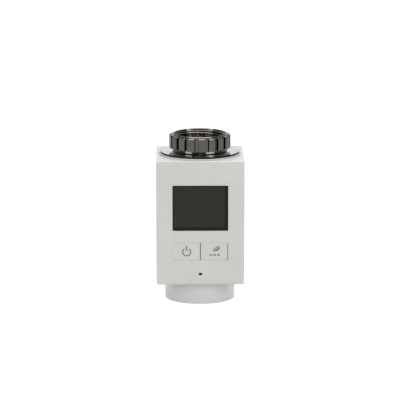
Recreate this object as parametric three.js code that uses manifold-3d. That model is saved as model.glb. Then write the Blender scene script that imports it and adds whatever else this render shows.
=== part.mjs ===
// Motorised actuator head for a radiator valve.
// A square housing stands on its round setting knob, with the union nut that screws onto the valve on top.
// Millimetres, +Z up through the union nut, the display faces -Y, and the origin is under the knob's centre.
import * as THREE from "three";
import { mergeVertices } from "three/addons/utils/BufferGeometryUtils.js";
import Module from "manifold-3d";

const wasm = await Module();
wasm.setup();

// ---------------------------------------------------------------- driving dimensions
const FIT = 0.15; // gap between pieces that rest on each other
const RUNNING = 0.3; // gap around pieces that slide or turn

const BODY_WIDTH = 52;
const BODY_BOTTOM = 12.9;
const BODY_TOP = 87.2;
const BODY_CORNER = 1.8; // radius of the upright edges
const BODY_TOP_EDGE = 1.0;
const BODY_BOTTOM_EDGE = 2.0;
const WALL = 2.2;
const HALF = BODY_WIDTH / 2;
const INNER = HALF - WALL;
const TOP_WALL_UNDERSIDE = BODY_TOP - 2;

const SEAT_BOSS = { radius: 23.8, height: 0.8 };
const DISC = { radius: 23.5, bottom: 88.1, top: 89.2 };
const NECK = { outer: 12.0, inner: 8.2, top: 94.5, stub: 14.0, stubBottom: 85.15 };
const GUIDE = { rim: 9.7, rimTop: 86.4, top: 90.5 };
const SNAP_RING = { bottom: 92.05, top: 92.95, groove: 11.3, outer: 13.6 };
const NUT = {
  bottom: 89.5, top: 99.8, root: 16.4, tip: 18.4, ribBottom: 91.2, ribTop: 99.0,
  ribs: 18, thread: 14.2, threadDepth: 0.7, pitch: 1.5, flangeTop: 91.7,
};

const SCREEN = { halfWidth: 16.4, bottom: 45.6, top: 72.75 };
const KEYS = { halfWidth: 16.4, bottom: 27.9, top: 38.5, gap: 0.2, split: 0.4 };
const STATUS_SLOT = { width: 2.0, height: 1.25, z: 19.5 };

const KNOB = {
  radius: 20.85, top: 12.6, wall: 2.0, floorTop: 3.4, capRadius: 18.4,
  hub: 6.4, groove: 5.4, grooveBottom: 15.5, grooveTop: 16.5, spigot: 4.0, spigotTop: 19.5,
};
const BASE_PLATE = { bottom: 13.1, top: 15.3 };
const PILLAR = { at: 20.3, radius: 2.9, top: 26 };

const LENS_LIP = { margin: 1.2, front: -23.65, back: -22.9 };
const LCD = { halfWidth: 18.2, bottom: 43.6, top: 74.8, front: -22.6, back: -20.9, rim: 1.4 };
const BOARD = { front: -19.2, back: -17.6 };
const CELL = { radius: 7.1, bodyLength: 48.8, nub: 1.2, nubRadius: 2.7, x: 8.2, y: 16.0 };
const TRAY = { halfWidth: 16.6, front: 7.4, back: 21.0, bottom: 15.9, top: 70.1, floor: 17.1, ceiling: 69.3 };
const DOOR = { halfWidth: 16.7, bottom: 17.4, top: 69.8 };

const GEARBOX = { baseBottom: 70.4, baseTop: 71.8, coverBottom: 83.6, coverTop: 85.0, front: -16.6 };
const POST = { x: 20.5, front: -14.2, back: 20.5, radius: 2.2 };
const AXLE_RADIUS = 0.7;
const MOTOR = { radius: 7.5, bottom: 46.5, top: 70.1, shaft: 0.75 };
const PLUNGER = {
  bottom: 72.9, threadTop: 80.2, thread: 3.1, square: 4.4, headBottom: 91.0, top: 93.0, head: 4.4,
};

// Gear pairs: the drive runs motor, idler 1, idler 2, drive gear, and the knob turns the encoder.
const FINE = 0.4; // module of the two fast stages
const COARSE = 0.5; // module of the slow stage
const FINE_PINION = 10;
const FINE_WHEEL = 30;
const COARSE_PINION = 12;
const DRIVE_TEETH = 60;
const KNOB_GEAR = { module: 0.6, teeth: 20, bottom: 17.35, top: 19.35 };
const ENCODER_TEETH = 12;

const away = ([x, y], distance, degrees) => {
  const angle = THREE.MathUtils.degToRad(degrees);
  return [x + distance * Math.cos(angle), y + distance * Math.sin(angle)];
};
const ORIGIN = [0, 0];
const IDLER_2_AT = away(ORIGIN, (COARSE * (DRIVE_TEETH + COARSE_PINION)) / 2, 140);
const IDLER_1_AT = away(IDLER_2_AT, (FINE * (FINE_WHEEL + FINE_PINION)) / 2, 247);
const MOTOR_AT = away(IDLER_1_AT, (FINE * (FINE_WHEEL + FINE_PINION)) / 2, 284.5);
const ENCODER_AT = away(ORIGIN, (KNOB_GEAR.module * (KNOB_GEAR.teeth + ENCODER_TEETH)) / 2, -90);

// ---------------------------------------------------------------- solids
// A closed geometry as a manifold-3d solid whose faces point outwards.
function solid(geometry) {
  const bare = geometry.index ? geometry.toNonIndexed() : geometry.clone();
  bare.deleteAttribute("normal");
  bare.deleteAttribute("uv");
  const merged = mergeVertices(bare, 1e-3);
  const points = merged.attributes.position.array;
  const corners = new Uint32Array(merged.index.array);
  const at = (k) => new THREE.Vector3().fromArray(points, 3 * corners[k]);
  let volume = 0;
  for (let k = 0; k < corners.length; k += 3) volume += at(k).dot(at(k + 1).cross(at(k + 2)));
  if (volume < 0) {
    for (let k = 0; k < corners.length; k += 3) {
      [corners[k + 1], corners[k + 2]] = [corners[k + 2], corners[k + 1]];
    }
  }
  return new wasm.Manifold(
    new wasm.Mesh({ numProp: 3, vertProperties: new Float32Array(points), triVerts: corners }),
  );
}

function geometryOf(body) {
  const mesh = body.getMesh();
  return new THREE.BufferGeometry()
    .setAttribute("position", new THREE.BufferAttribute(mesh.vertProperties, 3))
    .setIndex(new THREE.BufferAttribute(mesh.triVerts, 1));
}

const cut = (body, ...tools) => tools.reduce((left, tool) => left.subtract(tool), body);
const join = (body, ...others) => others.reduce((sum, other) => sum.add(other), body);

// A box between two corners.
function block([x0, y0, z0], [x1, y1, z1]) {
  const box = new THREE.BoxGeometry(x1 - x0, y1 - y0, z1 - z0);
  return solid(box.translate((x0 + x1) / 2, (y0 + y1) / 2, (z0 + z1) / 2));
}

// An upright cylinder at [x, y].
function rod(radius, bottom, top, [x, y] = ORIGIN, sides = 24) {
  const cylinder = new THREE.CylinderGeometry(radius, radius, top - bottom, sides);
  return solid(cylinder.rotateX(Math.PI / 2).translate(x, y, (bottom + top) / 2));
}

// A body turned about Z from a profile of [radius, z] points that closes on itself or ends on the axis.
function turned(profile, sides = 48) {
  const onAxis = profile[0][0] === 0 && profile.at(-1)[0] === 0;
  const points = (onAxis ? profile : [...profile, profile[0]]).map(([r, z]) => new THREE.Vector2(r, z));
  return solid(new THREE.LatheGeometry(points, sides).rotateX(Math.PI / 2));
}

// An outline in X and Y made solid from z = bottom to z = top.
function prism(shape, bottom, top, curveSegments = 6) {
  const options = { depth: top - bottom, bevelEnabled: false, curveSegments };
  return solid(new THREE.ExtrudeGeometry(shape, options).translate(0, 0, bottom));
}

// An outline in X and Z made solid from y = front to y = back.
function panel(shape, front, back, curveSegments = 6) {
  const options = { depth: back - front, bevelEnabled: false, curveSegments };
  return solid(new THREE.ExtrudeGeometry(shape, options).rotateX(Math.PI / 2).translate(0, back, 0));
}

function roundedRectangle(x0, y0, x1, y1, radius) {
  const shape = new THREE.Shape();
  shape.absarc(x1 - radius, y0 + radius, radius, -Math.PI / 2, 0);
  shape.absarc(x1 - radius, y1 - radius, radius, 0, Math.PI / 2);
  shape.absarc(x0 + radius, y1 - radius, radius, Math.PI / 2, Math.PI);
  shape.absarc(x0 + radius, y0 + radius, radius, Math.PI, 1.5 * Math.PI);
  return shape;
}

// A square block with rounded upright edges, rounded again where its sides meet its top and bottom.
function roundedBlock(half, corner, bottom, bottomEdge, top, topEdge) {
  const steps = 3;
  const quarter = (k) => (k / steps) * (Math.PI / 2);
  const levels = [];
  for (let k = 0; k <= steps; k++) {
    levels.push([bottomEdge * (1 - Math.sin(quarter(k))), bottom + bottomEdge * (1 - Math.cos(quarter(k)))]);
  }
  for (let k = 0; k <= steps; k++) {
    levels.push([topEdge * (1 - Math.cos(quarter(k))), top - topEdge * (1 - Math.sin(quarter(k)))]);
  }
  const ring = 4 * (steps + 1);
  const points = [];
  for (const [inset, z] of levels) {
    const radius = Math.max(corner - inset, 0.2);
    for (let side = 0; side < 4; side++) {
      for (let k = 0; k <= steps; k++) {
        const angle = side * (Math.PI / 2) + quarter(k);
        const centre = half - inset - radius;
        const toX = side === 0 || side === 3 ? 1 : -1;
        const toY = side < 2 ? 1 : -1;
        points.push(toX * centre + radius * Math.cos(angle), toY * centre + radius * Math.sin(angle), z);
      }
    }
  }
  const lower = points.length / 3;
  points.push(0, 0, bottom, 0, 0, top);
  const faces = [];
  for (let k = 0; k < ring; k++) {
    const next = (k + 1) % ring;
    faces.push(lower, next, k);
    faces.push(lower + 1, lower - ring + k, lower - ring + next);
    for (let level = 0; level + 1 < levels.length; level++) {
      const a = level * ring;
      faces.push(a + k, a + next, a + ring + next, a + k, a + ring + next, a + ring + k);
    }
  }
  return solid(
    new THREE.BufferGeometry()
      .setAttribute("position", new THREE.Float32BufferAttribute(points, 3))
      .setIndex(faces),
  );
}

// A round wire or tube along a curve.
function wire(curve, radius, steps, sides = 6) {
  const section = new THREE.Shape();
  for (let k = 0; k < sides; k++) {
    const angle = (k / sides) * 2 * Math.PI;
    section[k ? "lineTo" : "moveTo"](radius * Math.cos(angle), radius * Math.sin(angle));
  }
  return solid(new THREE.ExtrudeGeometry(section, { steps, extrudePath: curve, bevelEnabled: false }));
}

// ---------------------------------------------------------------- gears
const PRESSURE_ANGLE = THREE.MathUtils.degToRad(20);
const involute = (angle) => Math.tan(angle) - angle;

// The outline of a spur gear with a tooth centred on +X. Each flank runs straight from root to tip.
function gearOutline(teeth, module) {
  const pitch = (module * teeth) / 2;
  const base = pitch * Math.cos(PRESSURE_ANGLE);
  const backlash = 0.16 * module;
  const halfAngle = (radius) => {
    const pressure = Math.acos(Math.min(1, base / Math.max(radius, base)));
    const atPitch = Math.PI / (2 * teeth) - backlash / (2 * pitch);
    return atPitch + involute(PRESSURE_ANGLE) - involute(pressure);
  };
  const root = pitch - 1.2 * module;
  const tip = pitch + 0.85 * module;
  const points = [];
  for (let tooth = 0; tooth < teeth; tooth++) {
    const centre = (tooth / teeth) * 2 * Math.PI;
    for (const [radius, side] of [[root, -1], [tip, -1], [tip, 1], [root, 1]]) {
      const angle = centre + side * halfAngle(radius);
      points.push(new THREE.Vector2(radius * Math.cos(angle), radius * Math.sin(angle)));
    }
  }
  return new THREE.Shape(points);
}

const gear = (teeth, module, bottom, top) => prism(gearOutline(teeth, module), bottom, top, 1);

// The turn that brings a gear at `to` into mesh with one at `from` that is turned by `phase`.
function meshedPhase(phase, teeth, from, to, otherTeeth) {
  const direction = Math.atan2(to[1] - from[1], to[0] - from[0]);
  const share = (teeth * (direction - phase)) / (2 * Math.PI);
  return direction + Math.PI - ((2 * Math.PI) / otherTeeth) * (0.5 - share);
}

// ---------------------------------------------------------------- the assembly
const assembly = new THREE.Group();

function finish(color, roughness, metalness = 0) {
  return new THREE.MeshStandardMaterial({ color, roughness, metalness });
}
const WHITE = finish(0xe6e6e2, 0.38);
const WHITE_KNOB = finish(0xdcdcda, 0.5);
const BLACK_NICKEL = finish(0x6b665f, 0.16, 1);
const STEEL = finish(0xb8babd, 0.3, 1);
const BRASS = finish(0xc9a452, 0.3, 1);
const SCREEN_GLASS = finish(0x343530, 0.1);
const BLACK_PLASTIC = finish(0x1d1e1f, 0.5);
const GREY_PLASTIC = finish(0x8d9092, 0.55);
const ACETAL = finish(0xece8dc, 0.45);
const CIRCUIT_BOARD = finish(0x1f6b3c, 0.5);
const CELL_WRAP = finish(0x2c3f6b, 0.35);
const RED_SLEEVE = finish(0xb3231c, 0.5);
const BLACK_SLEEVE = finish(0x151515, 0.5);

function add(name, body, material, { at = [0, 0, 0], turn = 0, flip = false } = {}) {
  const mesh = new THREE.Mesh(geometryOf(body), material);
  mesh.name = name;
  mesh.position.set(...at);
  mesh.rotation.set(flip ? Math.PI : 0, 0, turn);
  assembly.add(mesh);
}

// ---------------------------------------------------------------- housing
const pillarPlaces = [[1, 1], [-1, 1], [-1, -1], [1, -1]].map(([x, y]) => [x * PILLAR.at, y * PILLAR.at]);

function housing() {
  const shell = roundedBlock(HALF, BODY_CORNER, BODY_BOTTOM, BODY_BOTTOM_EDGE, BODY_TOP, BODY_TOP_EDGE);
  const cavity = block([-INNER, -INNER, BODY_BOTTOM - 1], [INNER, INNER, TOP_WALL_UNDERSIDE]);
  const seat = rod(SEAT_BOSS.radius, BODY_TOP - 0.5, BODY_TOP + SEAT_BOSS.height, ORIGIN, 48);
  const pillars = pillarPlaces.map(([x, y]) => {
    const [wallX, wallY] = [Math.sign(x) * (INNER + 1), Math.sign(y) * (INNER + 1)];
    const web = block(
      [Math.min(x, wallX), Math.min(y, wallY), BASE_PLATE.top + FIT],
      [Math.max(x, wallX), Math.max(y, wallY), PILLAR.top],
    );
    const post = rod(PILLAR.radius, BASE_PLATE.top + FIT, PILLAR.top, [x, y], 12);
    return join(post, web);
  });
  const pilots = pillarPlaces.map((place) => rod(1.25, BODY_BOTTOM, PILLAR.top - 2, place, 8));
  const outsideFront = -HALF - 1;
  const insideFront = -INNER + 1;
  return cut(
    join(cut(shell, cavity), seat, ...pillars),
    ...pilots,
    rod(NECK.stub + RUNNING, TOP_WALL_UNDERSIDE - 1, BODY_TOP + 2, ORIGIN, 40),
    panel(
      roundedRectangle(-SCREEN.halfWidth, SCREEN.bottom, SCREEN.halfWidth, SCREEN.top, 0.5),
      outsideFront, insideFront, 2,
    ),
    panel(
      roundedRectangle(-KEYS.halfWidth, KEYS.bottom, KEYS.halfWidth, KEYS.top, 0.5),
      outsideFront, insideFront, 2,
    ),
    block(
      [-STATUS_SLOT.width / 2, outsideFront, STATUS_SLOT.z - STATUS_SLOT.height / 2],
      [STATUS_SLOT.width / 2, insideFront, STATUS_SLOT.z + STATUS_SLOT.height / 2],
    ),
    panel(
      roundedRectangle(
        -DOOR.halfWidth - 0.2, DOOR.bottom - 0.2, DOOR.halfWidth + 0.2, DOOR.top + 0.2, 1.7,
      ),
      INNER - 1, HALF + 1, 3,
    ),
  );
}

function bottomPlate() {
  const plate = prism(
    roundedRectangle(-INNER + RUNNING, -INNER + RUNNING, INNER - RUNNING, INNER - RUNNING, 1.5),
    BASE_PLATE.bottom, BASE_PLATE.top, 3,
  );
  return cut(
    plate,
    rod(KNOB.hub + RUNNING, 0, 20, ORIGIN, 32),
    ...pillarPlaces.map((place) => rod(1.45, 0, 20, place, 8)),
    ...pillarPlaces.map((place) => rod(2.5, 0, BASE_PLATE.bottom + 1.1, place, 12)),
  );
}

// The cover over the cells: a flush panel with a thumb recess, and two legs inside that grip the opening.
function batteryDoor() {
  const skin = panel(
    roundedRectangle(-DOOR.halfWidth, DOOR.bottom, DOOR.halfWidth, DOOR.top, 1.5),
    INNER + 0.2, HALF, 3,
  );
  const recessRadius = 9;
  const thumb = solid(
    new THREE.SphereGeometry(recessRadius, 24, 16).translate(0, HALF + recessRadius - 1.1, DOOR.top - 9),
  );
  const legs = [-1, 1].map((side) => {
    const [left, right] = [side * 15.4, side * 16.4].toSorted((a, b) => a - b);
    return block([left, 21.6, 40], [right, INNER + 0.5, 47]);
  });
  return cut(join(skin, ...legs), thumb);
}

// ---------------------------------------------------------------- valve connection
function flangePlate() {
  const edge = 0.35;
  const body = turned([
    [GUIDE.rim + FIT, NECK.stubBottom], [NECK.stub, NECK.stubBottom], [NECK.stub, DISC.bottom],
    [DISC.radius - edge, DISC.bottom], [DISC.radius, DISC.bottom + edge],
    [DISC.radius, DISC.top - edge], [DISC.radius - edge, DISC.top],
    [NECK.outer, DISC.top], [NECK.outer, SNAP_RING.bottom - 0.1],
    [SNAP_RING.groove, SNAP_RING.bottom - 0.1], [SNAP_RING.groove, SNAP_RING.top + 0.1],
    [NECK.outer, SNAP_RING.top + 0.1], [NECK.outer, NECK.top], [NECK.inner, NECK.top],
    [NECK.inner, GUIDE.rimTop + FIT], [GUIDE.rim + FIT, GUIDE.rimTop + FIT],
  ]);
  return cut(body, ...flangeScrewPlaces.map((place) => rod(1.3, NECK.stubBottom - 1, 87.5, place, 8)));
}

function snapRing() {
  const ring = turned([
    [SNAP_RING.groove + FIT, SNAP_RING.bottom], [SNAP_RING.outer, SNAP_RING.bottom],
    [SNAP_RING.outer, SNAP_RING.top], [SNAP_RING.groove + FIT, SNAP_RING.top],
  ], 36);
  return cut(ring, block([-2.2, -20, SNAP_RING.bottom - 1], [2.2, 0, SNAP_RING.top + 1]));
}

function unionNut() {
  const { bottom, top, root, tip, ribBottom, ribTop, thread, threadDepth, pitch, flangeTop } = NUT;
  const major = thread + threadDepth;
  const threadStart = 93.4;
  const turns = 4;
  const ridges = [];
  for (let k = turns - 1; k >= 0; k--) {
    ridges.push([major, threadStart + (k + 1) * pitch], [thread, threadStart + (k + 0.5) * pitch]);
  }
  const core = turned([
    [NECK.outer + 0.4, bottom], [root - 0.4, bottom], [root, bottom + 0.4],
    [root, top - 0.5], [root - 0.5, top], [major + 0.3, top],
    ...ridges, [major, threadStart],
    [major, flangeTop], [NECK.outer + 0.4, flangeTop],
  ], 36);
  const pitchAngle = (2 * Math.PI) / NUT.ribs;
  const firstGroove = THREE.MathUtils.degToRad(-90 + 13);
  const points = [];
  for (let k = 0; k < NUT.ribs; k++) {
    const sections = [[root - 0.3, -0.09], [root - 0.3, 0.09], [tip, 0.17], [tip, 0.5], [tip, 0.83]];
    for (const [radius, share] of sections) {
      const angle = firstGroove + (k + share) * pitchAngle;
      points.push(new THREE.Vector2(radius * Math.cos(angle), radius * Math.sin(angle)));
    }
  }
  const chamfer = 0.45;
  const envelope = turned([
    [0, ribBottom], [tip - chamfer, ribBottom], [tip + 0.3, ribBottom + chamfer + 0.3],
    [tip + 0.3, ribTop - chamfer - 0.3], [tip - chamfer, ribTop], [0, ribTop],
  ], 36);
  const ribs = cut(
    prism(new THREE.Shape(points), ribBottom - 1, ribTop + 1, 1).intersect(envelope),
    rod(root - 0.6, ribBottom - 2, ribTop + 2, ORIGIN, 36),
  );
  return join(core, ribs);
}

function plungerGuide() {
  const bore = NECK.inner - RUNNING;
  const bottom = GEARBOX.coverTop + FIT;
  const body = turned([
    [0, bottom], [GUIDE.rim, bottom], [GUIDE.rim, GUIDE.rimTop], [bore, GUIDE.rimTop],
    [bore, GUIDE.top], [0, GUIDE.top],
  ], 32);
  const slide = PLUNGER.square / 2 + RUNNING;
  return cut(body, block([-slide, -slide, 80], [slide, slide, 95]));
}

function plunger() {
  const half = PLUNGER.square / 2;
  return join(
    turned([
      [0, PLUNGER.bottom], [PLUNGER.thread - 0.5, PLUNGER.bottom], [PLUNGER.thread, PLUNGER.bottom + 0.5],
      [PLUNGER.thread, PLUNGER.threadTop], [0, PLUNGER.threadTop],
    ], 24),
    block([-half, -half, PLUNGER.threadTop - 0.5], [half, half, PLUNGER.headBottom + 0.5]),
    turned([
      [0, PLUNGER.headBottom], [PLUNGER.head, PLUNGER.headBottom], [PLUNGER.head, PLUNGER.top - 0.5],
      [PLUNGER.head - 0.5, PLUNGER.top], [0, PLUNGER.top],
    ], 32),
  );
}

// ---------------------------------------------------------------- front: window, keys and board
function displayLens() {
  const window = panel(
    roundedRectangle(
      -SCREEN.halfWidth + FIT, SCREEN.bottom + FIT, SCREEN.halfWidth - FIT, SCREEN.top - FIT, 0.4,
    ),
    -HALF + 0.3, LENS_LIP.back, 2,
  );
  const { margin, front, back } = LENS_LIP;
  const lip = block(
    [-SCREEN.halfWidth - margin, front, SCREEN.bottom - margin],
    [SCREEN.halfWidth + margin, back, SCREEN.top + margin],
  );
  return join(window, lip);
}

function lcdPanel() {
  return block([-LCD.halfWidth, LCD.front, LCD.bottom], [LCD.halfWidth, LCD.back, LCD.top]);
}

function lcdFrame() {
  const face = LENS_LIP.back + FIT;
  const outer = block(
    [-LCD.halfWidth - LCD.rim, face, LCD.bottom - LCD.rim],
    [LCD.halfWidth + LCD.rim, BOARD.front - FIT, LCD.top + LCD.rim],
  );
  const pocket = block(
    [-LCD.halfWidth - FIT, face - 1, LCD.bottom - FIT],
    [LCD.halfWidth + FIT, LCD.back + FIT, LCD.top + FIT],
  );
  const ribbonWay = block([-12, face, LCD.bottom + 3], [12, BOARD.front + 1, LCD.bottom + 9]);
  return cut(outer, pocket, ribbonWay);
}

// A key of the front: its cap fills one side of the opening, and a lip behind the wall keeps it in.
function key(side) {
  const inner = side * (KEYS.split / 2);
  const outer = side * (KEYS.halfWidth - KEYS.gap);
  const [left, right] = [inner, outer].toSorted((a, b) => a - b);
  const cap = panel(
    roundedRectangle(left, KEYS.bottom + KEYS.gap, right, KEYS.top - KEYS.gap, 0.4),
    -HALF, -23.3, 2,
  );
  const lipEdge = 0.9;
  const lip = block(
    [side < 0 ? left - lipEdge : left, -23.4, KEYS.bottom - lipEdge],
    [side > 0 ? right + lipEdge : right, -22.7, KEYS.top + lipEdge],
  );
  return join(cap, lip);
}

const switchPlace = (side) => [side * (KEYS.halfWidth / 2), (KEYS.bottom + KEYS.top) / 2];

// A horizontal rod along Y at [x, z].
function crossRod(radius, front, back, [x, z], sides = 12) {
  const shape = new THREE.CylinderGeometry(radius, radius, back - front, sides);
  return solid(shape.translate(x, (front + back) / 2, z));
}

function switchCase(side) {
  const [x, z] = switchPlace(side);
  return cut(
    block([x - 3, -21.4, z - 3], [x + 3, BOARD.front - FIT, z + 3]),
    crossRod(1.3, -23, -20.1, [x, z]),
  );
}

const switchStem = (side) => crossRod(1.0, -22.6, -21.0, switchPlace(side));

function mainBoard() {
  const shoulder = PILLAR.top + 1;
  const [narrow, wide, low, high] = [14, 22.6, 17, 78];
  const corners = [
    [-narrow, low], [narrow, low], [narrow, shoulder], [wide, shoulder],
    [wide, high], [-wide, high], [-wide, shoulder], [-narrow, shoulder],
  ];
  const outline = new THREE.Shape(corners.map(([x, z]) => new THREE.Vector2(x, z)));
  return panel(outline, BOARD.front, BOARD.back, 1);
}

function statusLightGuide() {
  const halfWidth = STATUS_SLOT.width / 2 - FIT;
  const halfHeight = STATUS_SLOT.height / 2 - FIT;
  return block(
    [-halfWidth, -HALF + 0.5, STATUS_SLOT.z - halfHeight],
    [halfWidth, BOARD.front - FIT, STATUS_SLOT.z + halfHeight],
  );
}

// ---------------------------------------------------------------- cells
function batteryTray() {
  const { halfWidth, front, back, bottom, top, floor, ceiling } = TRAY;
  const troughs = [-1, 1].map((side) => rod(CELL.radius + 0.35, floor, ceiling, [side * CELL.x, CELL.y], 24));
  return cut(
    block([-halfWidth, front, bottom], [halfWidth, back, top]),
    ...troughs,
    block([-halfWidth + 0.95, CELL.y, floor], [halfWidth - 0.95, back + 1, ceiling]),
  );
}

function cell() {
  const { radius, bodyLength, nub, nubRadius } = CELL;
  return turned([
    [0, 0], [radius - 0.8, 0], [radius, 0.6], [radius, bodyLength - 0.8], [radius - 1.2, bodyLength],
    [nubRadius, bodyLength], [nubRadius, bodyLength + nub], [0, bodyLength + nub],
  ], 24);
}

// A cone-shaped coil that presses on a cell's flat end, with its wide turn at z = 0.
function coilContact() {
  class Coil extends THREE.Curve {
    getPoint(t, target = new THREE.Vector3()) {
      const turns = 2.5;
      const angle = t * turns * 2 * Math.PI;
      const radius = 4.2 - 2.2 * t;
      return target.set(radius * Math.cos(angle), radius * Math.sin(angle), 0.25 + 0.62 * t);
    }
  }
  return wire(new Coil(), 0.18, 30, 4);
}

// ---------------------------------------------------------------- drive
const idler2Phase = meshedPhase(0, DRIVE_TEETH, ORIGIN, IDLER_2_AT, COARSE_PINION);
const idler1Phase = meshedPhase(idler2Phase, FINE_WHEEL, IDLER_2_AT, IDLER_1_AT, FINE_PINION);
const motorPhase = meshedPhase(idler1Phase, FINE_WHEEL, IDLER_1_AT, MOTOR_AT, FINE_PINION);

// Two gears on one sleeve: the wheel at the bottom and the pinion above it.
function idlerGear(wheelBottom, wheelTop, pinionTeeth, pinionModule, pinionTop) {
  return cut(
    join(
      gear(FINE_WHEEL, FINE, wheelBottom, wheelTop),
      gear(pinionTeeth, pinionModule, wheelTop - 0.2, pinionTop),
    ),
    rod(AXLE_RADIUS + 0.2, wheelBottom - 1, pinionTop + 1, ORIGIN, 12),
  );
}

function driveGear() {
  return cut(
    join(gear(DRIVE_TEETH, COARSE, 77.2, 81.8), rod(4.7, 72.7, 83.2, ORIGIN, 24)),
    rod(PLUNGER.thread + RUNNING, 70, 90, ORIGIN, 24),
  );
}

const postPlaces = [-1, 1].flatMap((x) => [[x * POST.x, POST.front], [x * POST.x, POST.back]]);
const axlePlaces = [IDLER_1_AT, IDLER_2_AT];

function gearboxPlate(bottom, top) {
  return prism(
    roundedRectangle(-INNER + 0.4, GEARBOX.front, INNER - 0.4, INNER - 0.4, 2), bottom, top, 3,
  );
}

function gearboxBase() {
  return cut(
    gearboxPlate(GEARBOX.baseBottom, GEARBOX.baseTop),
    ...postPlaces.map((place) => rod(1.3, 60, 80, place, 8)),
    ...axlePlaces.map((place) => rod(AXLE_RADIUS + FIT, GEARBOX.baseBottom + 0.3, 80, place, 12)),
    rod(3.3, 60, 80, MOTOR_AT, 16),
  );
}

const flangeScrewPlaces = [90, 210, 330].map((degrees) => away(ORIGIN, 12, degrees));

function gearboxCover() {
  return cut(
    join(
      gearboxPlate(GEARBOX.coverBottom, GEARBOX.coverTop),
      ...postPlaces.map((place) => (
        rod(POST.radius, GEARBOX.baseTop + FIT, GEARBOX.coverBottom + 0.5, place, 12)
      )),
    ),
    ...postPlaces.map((place) => rod(1.3, 60, 78.5, place, 8)),
    ...flangeScrewPlaces.map((place) => rod(1.3, 60, 90, place, 8)),
    ...axlePlaces.map((place) => rod(AXLE_RADIUS + FIT, 80, GEARBOX.coverTop - 0.3, place, 12)),
    rod(3.6, 60, 90, ORIGIN, 24),
  );
}

function motorCan() {
  const { radius, bottom, top } = MOTOR;
  const bossTop = 71.6;
  const body = turned([
    [0, bottom], [radius, bottom], [radius, top - 1], [radius - 1, top], [3, top], [3, bossTop], [0, bossTop],
  ], 28);
  return cut(body, rod(MOTOR.shaft + RUNNING, 58, 75, ORIGIN, 12));
}

function motorEndCap() {
  const disc = rod(MOTOR.radius - 0.4, 44.9, MOTOR.bottom - FIT, ORIGIN, 24);
  const tabs = [-1, 1].map((side) => block([side * 4 - 1, -0.3, 42.6], [side * 4 + 1, 0.3, 45.5]));
  return join(disc, ...tabs);
}

function motorPinion() {
  return join(gear(FINE_PINION, FINE, 72.2, 74.2), rod(MOTOR.shaft, 60, 74.2, ORIGIN, 10));
}

// A lead from one motor tab, down in a loop and forward to the board.
function motorLead(side) {
  const tabX = MOTOR_AT[0] + side * 4;
  const tabY = MOTOR_AT[1];
  return wire(
    new THREE.CatmullRomCurve3([
      new THREE.Vector3(tabX, tabY, 42.2),
      new THREE.Vector3(tabX, tabY - 0.5, 38.5),
      new THREE.Vector3(tabX + side * 0.5, tabY - 3.5, 36.0),
      new THREE.Vector3(tabX + side * 0.8, tabY - 7.5, 36.5),
      new THREE.Vector3(tabX + side * 0.8, BOARD.back + FIT, 37.0),
    ]),
    0.6, 10,
  );
}

// ---------------------------------------------------------------- knob and encoder
function knobBody() {
  const { radius, top, wall, floorTop, capRadius, hub } = KNOB;
  const { groove, grooveBottom, grooveTop, spigot, spigotTop } = KNOB;
  const collarTop = 17.2;
  const inner = radius - wall;
  return turned([
    [0, 1.6], [capRadius, 1.6], [capRadius, 0], [radius - 0.3, 0], [radius, 0.3],
    [radius, top - 0.3], [radius - 0.3, top], [inner, top], [inner, floorTop],
    [hub, floorTop], [hub, grooveBottom], [groove, grooveBottom], [groove, grooveTop],
    [hub - 0.3, grooveTop], [hub - 0.3, collarTop], [spigot, collarTop], [spigot, spigotTop], [0, spigotTop],
  ]);
}

function knobCap() {
  const radius = KNOB.capRadius - RUNNING;
  return turned([[0, 0.3], [radius - 0.3, 0.3], [radius, 0.6], [radius, 1.45], [0, 1.45]]);
}

function knobClip() {
  const [inner, outer, bottom, top] = [KNOB.groove + FIT, 7.3, KNOB.grooveBottom + 0.1, KNOB.grooveTop - 0.1];
  const ring = turned([[inner, bottom], [outer, bottom], [outer, top], [inner, top]], 24);
  return cut(ring, block([-1.6, -9, 15], [1.6, 0, 17]));
}

function knobGear() {
  return cut(
    gear(KNOB_GEAR.teeth, KNOB_GEAR.module, KNOB_GEAR.bottom, KNOB_GEAR.top),
    rod(KNOB.spigot + FIT, 10, 25, ORIGIN, 24),
  );
}

const encoderPhase = meshedPhase(0, KNOB_GEAR.teeth, ORIGIN, ENCODER_AT, ENCODER_TEETH);

function encoderGear() {
  return join(
    gear(ENCODER_TEETH, KNOB_GEAR.module, KNOB_GEAR.bottom, KNOB_GEAR.top),
    rod(1.2, KNOB_GEAR.top - 0.5, 22.6, ORIGIN, 12),
  );
}

function encoderCase() {
  const [x, y] = ENCODER_AT;
  return cut(block([x - 5.5, y - 5.5, 19.9], [x + 5.5, y + 5.5, 24.6]), rod(1.5, 18, 23.2, ENCODER_AT, 12));
}

// ---------------------------------------------------------------- fasteners
// A cross-head screw with its shank up +Z from the head's underside at z = 0.
function screw(headRadius, headHeight, shankRadius, length) {
  const body = turned([
    [0, -headHeight], [headRadius, -headHeight], [headRadius, 0],
    [shankRadius, 0], [shankRadius, length - 0.6], [0, length],
  ], 12);
  const half = headRadius * 0.62;
  const slots = [[half, 0.2], [0.2, half]].map(([x, y]) =>
    block([-x, -y, -headHeight - 1], [x, y, -headHeight + 0.55]),
  );
  return cut(body, ...slots);
}

// ---------------------------------------------------------------- build
add("housing", housing(), WHITE);
add("bottom_plate", bottomPlate(), WHITE);
add("battery_cover", batteryDoor(), WHITE);

add("flange_plate", flangePlate(), BLACK_NICKEL);
add("retaining_ring", snapRing(), STEEL);
add("union_nut", unionNut(), BLACK_NICKEL);
add("plunger_guide", plungerGuide(), BLACK_PLASTIC);
add("plunger", plunger(), STEEL);

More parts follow.
